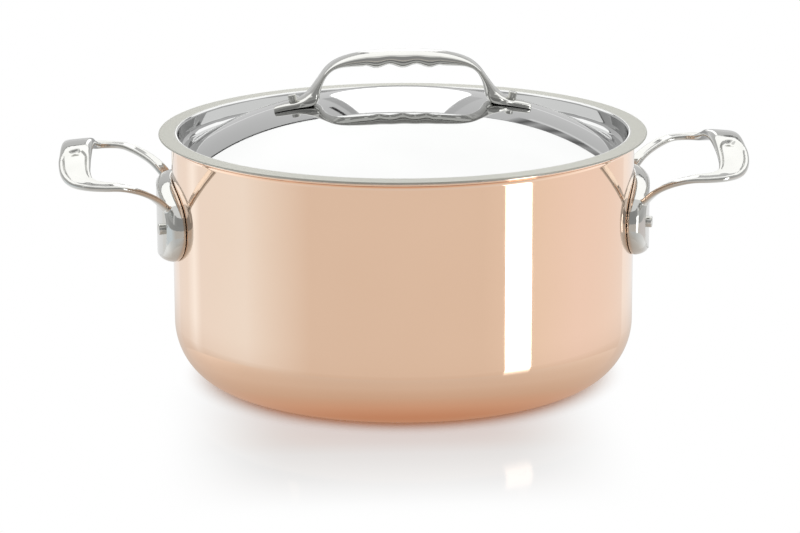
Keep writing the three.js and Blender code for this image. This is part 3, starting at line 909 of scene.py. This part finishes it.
for side, turn, sense in (("right", 0, 1), ("left", 180, -1)):
    for place, hand in (("front", -1), ("rear", 1)):
        bearing = turn + sense * hand * RIVET_ANGLE
        placing = LIFT @ Matrix.Rotation(radians(bearing), 4, "Z") @ LIE_DOWN
        rivet(f"{side}_{place}_rivet_skin", "pot", SIDE_FACES, SIDE_SHANK, SIDE_BACK_HEAD, SIDE_STUB,
              placing, f"{side}_{place}_rivet")

# %% Rivets of the lid handle
LID_RIVET_X = 56 * MM
LID_FOOT = 3.5 * MM
FOOT_GAP = 0.12 * MM
RIVET_GAP = 0.1 * MM
LID_FACES = (-LID_SHEET - RIVET_GAP, FOOT_GAP + LID_FOOT - HEAD_SINK)
LID_SHANK = 1.5 * MM
LID_BACK_HEAD = (3.6 * MM, 1.2 * MM)
LID_STUB = (2.2 * MM, 3.8 * MM)

tilt = dome_slope(LID_RIVET_X)
for side, hand in (("left", -1), ("right", 1)):
    seat = Matrix.Translation((hand * LID_RIVET_X, 0, dome_level(LID_RIVET_X)))
    placing = seat @ Matrix.Rotation(hand * tilt, 4, "Y")
    rivet(f"lid_{side}_rivet_skin", "lid", LID_FACES, LID_SHANK, LID_BACK_HEAD, LID_STUB,
          placing, f"lid_{side}_rivet")

# %% [markdown]
# ## Skinning a row of rings
# A cast handle has no single axis, so it can't be turned. It could be sculpted by hand, but then its sizes
# would be hard to change. Here it is skinned: rings of points stand along a path, and each ring is bridged
# to the next. Values that change along the path, such as the width, run smoothly through a few stations by
# the Catmull-Rom rule.

# %% Smooth values along a path
def smooth_run(stations, t):
    """Smooth values at t from 0 to 1 through evenly spaced stations, which are rows of numbers."""
    span = t * (len(stations) - 1)
    i = min(int(span), len(stations) - 2)
    f = span - i
    before = stations[max(i - 1, 0)]
    after = stations[min(i + 2, len(stations) - 1)]
    rows = zip(before, stations[i], stations[i + 1], after)
    return [
        0.5 * (2 * b + (c - a) * f + (2 * a - 5 * b + 4 * c - d) * f * f + (3 * b - a - 3 * c + d) * f ** 3)
        for a, b, c, d in rows
    ]


print("through 0, 1 and 4, a quarter of the way:", smooth_run([(0,), (1,), (4,)], 0.25))


# %% Rings and skins
def squared(angle, fullness):
    """A point on a rounded square of half size 1: fullness 2 is a circle."""
    def swell(value):
        return (abs(value) ** (2 / fullness)) * (1 if value >= 0 else -1)
    return swell(cos(angle)), swell(sin(angle))


def skin(bm, rings):
    """Bridges a row of rings of points and closes both ends."""
    loops = []
    for points in rings:
        circle = bmesh.ops.create_circle(bm, segments=len(points), radius=1)["verts"]
        for vert, point in zip(circle, points):
            vert.co = point
        loops.append(list({edge for vert in circle for edge in vert.link_edges}))
    for first, second in zip(loops, loops[1:]):
        bmesh.ops.bridge_loops(bm, edges=first + second)
    for loop in (loops[0], loops[-1]):
        bmesh.ops.contextual_create(bm, geom=loop)
    bmesh.ops.recalc_face_normals(bm, faces=bm.faces[:])


# %% [markdown]
# ## Lid handle
# A cast arch for one hand, with low waves under the grip for the fingers and slim feet that lie on the
# dome. A bent tube would be quicker, but the casting's section changes all along. So two rails describe it:
# the outer rail runs over the top of the grip and down the legs, the inner rail runs along the underside,
# and each ring is a rounded oblong between them.

# %% Rails of the lid handle
def on_dome(x, height):
    """A rail point above the dome, in millimetres."""
    return x, (dome_level(x * MM) + FOOT_GAP) / MM + height


def grip_rails():
    """Stations from toe to toe, in millimetres: outer x and z, inner x and z, half width."""
    half = [
        (0, 171.8, 0, 163.5, 8.5),
        (12.5, 171.4, 12.5, 163.5, 8.5),
        (24.5, 169.9, 24, 163.5, 8.5),
        (33.8, 166.9, 32.8, 162.8, 8.5),
        (39.8, 162.5, 37.8, 160.3, 8.5),
        (44.4, 156.4, 41, 155.2, 8.5),
        (48.4, 151.1, 42.4, 149.9, 8.9),
        (50.4, 149.2, 43, 147, 9.6),
        (53, 147.3, *on_dome(46, 0.1), 9.0),
        (*on_dome(56, 3.5), *on_dome(53, 0), 6.8),
        (*on_dome(62, 3.3), *on_dome(61, 0), 4.6),
        (*on_dome(66.2, 2.9), *on_dome(66, 0), 3.2),
        (*on_dome(66.6, 2.3), *on_dome(66.4, 0.1), 2.7),
    ]
    other = [(-a, b, -c, d, w) for a, b, c, d, w in half[:0:-1]]
    return other + half


rails = grip_rails()
print("stations of the grip:", len(rails))

# %% Rings of the lid handle
GRIP_POINTS = 28
GRIP_RINGS = 150
WAVE_PITCH = 13.7 * MM
WAVE_HEIGHT = 1.0 * MM
WAVE_REACH = 20.5 * MM
WAVE_FADE = 3 * MM
GRIP_FULLNESS = 4.5
GRIP_CROWN = 0.25
UNDER_FULLNESS = 2.2
SOLE_FULLNESS = 9.0
FOOTING_START = 42 * MM
FOOTING_RUN = 8 * MM


def grip_ring(t, rails):
    """One ring of the handle: a rounded oblong on top, squarer below where the foot meets the dome."""
    outer_x, outer_z, inner_x, inner_z, width = [v * MM for v in smooth_run(rails, t)]
    room = min(max((WAVE_REACH - abs(inner_x)) / WAVE_FADE, 0), 1)
    inner_z -= room * room * (3 - 2 * room) * WAVE_HEIGHT * cos(2 * pi * inner_x / WAVE_PITCH)
    footing = min(max((abs(inner_x) - FOOTING_START) / FOOTING_RUN, 0), 1)
    points = []
    for i in range(GRIP_POINTS):
        angle = 2 * pi * i / GRIP_POINTS
        below = UNDER_FULLNESS + (SOLE_FULLNESS - UNDER_FULLNESS) * footing
        across, up = squared(angle, GRIP_FULLNESS if sin(angle) > 0 else below)
        if up > 0:
            up *= 1 - GRIP_CROWN * across ** 2
        mix = (1 + up) / 2
        x = inner_x + (outer_x - inner_x) * mix
        z = inner_z + (outer_z - inner_z) * mix
        points.append((x, across * width, z))
    return points


bm = bmesh.new()
skin(bm, [grip_ring(i / (GRIP_RINGS - 1), rails) for i in range(GRIP_RINGS)])
finish_piece("lid_grip", bm, casting_finish, "lid", "lid_handle")

# %% [markdown]
# ## Side handles: plate and strap
# Each side handle is one casting: an oval plate on the wall, and a dished strap that runs out from it,
# round the fingers and back. In the middle of the outer bar the dish ends at a raised pad for the thumb.
# Modelling such a branching form as one mesh is hard, so the plate and the strap are skinned apart, each as
# a row of rings.

# %% Plate
PLATE_HALF_WIDTH = 44 * MM
PLATE_HALF_HEIGHT = 21.4 * MM
PLATE_FULLNESS = 2.4
PLATE_EDGE = 0.5 * MM
PLATE_NOSE = 0.2
NOSE_STEPS = 10
BACK_SCALES = (0.02, 0.2, 0.4, 0.6, 0.8, 0.99)
FACE_SCALES = (0.6, 0.4, 0.2, 0.02)
PLATE_POINTS = 96


def plate_ring(scale, height):
    """An oval on the wall: scale shrinks it, height lifts it off the wall."""
    points = []
    for i in range(PLATE_POINTS):
        across, up = squared(2 * pi * i / PLATE_POINTS, PLATE_FULLNESS)
        bearing = scale * PLATE_HALF_WIDTH * across / POT_RADIUS
        out = POT_RADIUS + WALL_GAP + height
        points.append((out * cos(bearing), out * sin(bearing), PLATE_HEIGHT + scale * PLATE_HALF_HEIGHT * up))
    return points


def plate_rings():
    """Rings from the middle of the plate's back, round its edge, to the middle of its face."""
    back = [plate_ring(scale, 0) for scale in BACK_SCALES]
    nose = []
    for i in range(NOSE_STEPS + 1):
        angle = radians(90 * i / NOSE_STEPS)
        scale = 1 - PLATE_NOSE + PLATE_NOSE * cos(angle)
        nose.append(plate_ring(scale, PLATE_EDGE + (PLATE_THICKNESS - PLATE_EDGE) * sin(angle)))
    face = [plate_ring(scale, PLATE_THICKNESS) for scale in FACE_SCALES]
    return back + nose + face


print("rings of the plate:", len(plate_rings()))


# %% Stations of the strap
def strap_stations():
    """Stations from plate to plate, in millimetres.

    Each is x, y, z, half width, half thickness, depth of the dish and lift of its edges.
    """
    half = [
        (119.0, 31.5, 92.0, 3.2, 1.8, 0.3, 0.0),
        (123.6, 35.6, 99.0, 4.0, 1.7, 0.5, 0.0),
        (128.5, 39.6, 104.3, 4.2, 1.7, 0.6, 0.0),
        (134.0, 43.3, 108.0, 4.2, 1.7, 0.6, 0.0),
        (140.0, 47.0, 110.7, 4.2, 1.7, 0.6, 0.0),
        (146.0, 50.0, 112.5, 4.4, 1.7, 0.7, 0.0),
        (152.3, 51.2, 113.0, 4.8, 1.7, 0.9, 0.1),
        (159.0, 49.8, 113.4, 5.6, 1.8, 1.4, 0.3),
        (164.6, 44.6, 114.1, 6.6, 1.9, 2.0, 0.6),
        (167.6, 36.0, 116.3, 7.6, 2.0, 2.6, 0.9),
        (168.6, 25.0, 119.1, 8.2, 2.2, 2.6, 1.1),
        (168.6, 14.0, 120.9, 8.2, 2.3, 2.3, 1.2),
        (168.6, 4.5, 121.8, 8.2, 2.3, 2.3, 1.5),
    ]
    other = [(x, -y, z, w, h, d, e) for x, y, z, w, h, d, e in reversed(half)]
    return half + other


stations = strap_stations()
print("stations of the strap:", len(stations))

# %% Directions of the strap
PATH_STEP = 0.002


def strap_axes(t, stations):
    """The strap's own directions at t from 0 to 1: along its path, across it and up."""
    ahead = Vector(smooth_run(stations, min(t + PATH_STEP, 1))[:3])
    behind = Vector(smooth_run(stations, max(t - PATH_STEP, 0))[:3])
    along = (ahead - behind).normalized()
    across = Vector((-along.y, along.x, 0)).normalized()
    return along, across, along.cross(across)


print("along the strap at its middle:", [round(v, 2) for v in strap_axes(0.5, stations)[0]])

# %% Rings of the strap
STRAP_POINTS = 56
STRAP_RINGS = 240
STRAP_FULLNESS = 3.4
PAD_HALF_WIDTH = 12.5 * MM
PAD_RUN = 11 * MM
STRAP_BANK = radians(5)
LOOP_CENTRE = Vector((145 * MM, 0, 0))
DISH_EDGE = 0.76
DISH_DRIFT = -0.04
DISH_POWER = 6
DISH_SOFTNESS = 0.7


def strap_ring(t, stations):
    """One ring of the strap: a flat oblong whose top is scooped out, except under the thumb."""
    x, y, z, width, half, dish, lift = [v * MM for v in smooth_run(stations, t)]
    along, across, up = strap_axes(t, stations)
    centre = Vector((x, y, z))
    outer = 1 if across.dot(centre - LOOP_CENTRE) > 0 else -1
    bank = Quaternion(along, -STRAP_BANK * outer)
    across = bank @ across
    up = bank @ up
    past_pad = 1.0
    if x > LOOP_CENTRE.x:
        past_pad = min(max((abs(y) - PAD_HALF_WIDTH) / PAD_RUN, 0), 1)
    reach = DISH_EDGE * sqrt(1 - (1 - past_pad) ** 2)
    drift = DISH_DRIFT * outer
    points = []
    for i in range(STRAP_POINTS):
        side, rise = squared(2 * pi * i / STRAP_POINTS, STRAP_FULLNESS)
        height = half * rise
        if rise > 0:
            scoop = 0
            if reach > 0:
                scoop = max(1 - ((side - drift) / reach) ** DISH_POWER, 0) ** DISH_SOFTNESS
            height += rise * (lift - dish * scoop)
        points.append(centre + across * (width * side) + up * height)
    return points


print("points in a strap ring:", len(strap_ring(0.5, stations)))

# %% [markdown]
# ## Side handles: one casting
# A voxel remesh melts the overlapping plate and strap into one skin, and a few passes of smoothing give the
# soft fillets of a polished casting. Joining them by a boolean would leave a sharp seam. The remesh has a
# price: its grid leaves small steps on the plate, and a mirror shows them. So points near the plate's back
# and face are moved exactly onto these faces, and the rim between the back and the wall is smoothed once
# more.

# %% Melting skins together
def smooth_points(bm, verts, passes):
    """Moves each point halfway to the middle of its neighbours, several times over."""
    for _ in range(passes):
        bmesh.ops.smooth_vert(bm, verts=verts, factor=0.5, use_axis_x=True, use_axis_y=True, use_axis_z=True)


def melt(bm, voxel, passes):
    """Joins overlapping closed skins into one by a voxel remesh, then smooths the result."""
    mesh = bpy.data.meshes.new("melt")
    bm.to_mesh(mesh)
    bm.free()
    block = bpy.data.objects.new("melt", mesh)
    scene.collection.objects.link(block)
    remesh = block.modifiers.new("melt", "REMESH")
    remesh.mode = "VOXEL"
    remesh.voxel_size = voxel
    depsgraph = bpy.context.evaluated_depsgraph_get()
    melted = bmesh.new()
    melted.from_object(block, depsgraph)
    bpy.data.objects.remove(block)
    bpy.data.meshes.remove(mesh)
    smooth_points(melted, melted.verts[:], passes)
    bmesh.ops.recalc_face_normals(melted, faces=melted.faces[:])
    return melted


# %% Truing the plate
PLATE_BACK = POT_RADIUS + 0.3 * MM
BACK_REACH = 0.6 * MM
PLATE_FACE = POT_RADIUS + WALL_GAP + PLATE_THICKNESS
FACE_REACH = 0.25 * MM
PLATE_TOP = PLATE_HEIGHT + PLATE_HALF_HEIGHT
RIM_REACH = 1.6 * MM
RIM_PASSES = 6
RIM_SNAP = 0.35 * MM


def true_back(verts, reach):
    """Moves points that lie close to the plate's back, or inside it, exactly onto it."""
    for vert in verts:
        out = vert.co.xy.length
        if out < PLATE_BACK + reach:
            vert.co.xy *= PLATE_BACK / out


def true_face(verts):
    """Moves points that lie close to the plate's face exactly onto it."""
    for vert in verts:
        out = vert.co.xy.length
        if abs(out - PLATE_FACE) < FACE_REACH and vert.co.z < PLATE_TOP:
            vert.co.xy *= PLATE_FACE / out


def true_plate(bm):
    """Makes the plate's back and face true and smooths its rim."""
    true_back(bm.verts, BACK_REACH)
    true_face(bm.verts)
    rim = [v for v in bm.verts if v.co.xy.length < PLATE_BACK + RIM_REACH]
    smooth_points(bm, rim, RIM_PASSES)
    true_back(rim, RIM_SNAP)
    print("points in the plate's rim:", len(rim))


# %% Side handles
VOXEL = 0.43 * MM
SMOOTH_PASSES = 4

for side, turn in (("right", 0), ("left", pi)):
    bm = bmesh.new()
    skin(bm, plate_rings())
    skin(bm, [strap_ring(i / (STRAP_RINGS - 1), stations) for i in range(STRAP_RINGS)])
    bm = melt(bm, VOXEL, SMOOTH_PASSES)
    true_plate(bm)
    bmesh.ops.rotate(bm, cent=(0, 0, 0), matrix=Matrix.Rotation(turn, 3, "Z"), verts=bm.verts[:])
    finish_piece(f"{side}_casting", bm, casting_finish, "pot", f"{side}_handle")

# %% [markdown]
# ## Sizes
# The skins must not outgrow the solids that they stand for, so the box round everything shown is printed.

# %% Print the visual box
low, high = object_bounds()
print("visual box in mm:", [round(v / MM, 1) for v in high - low])
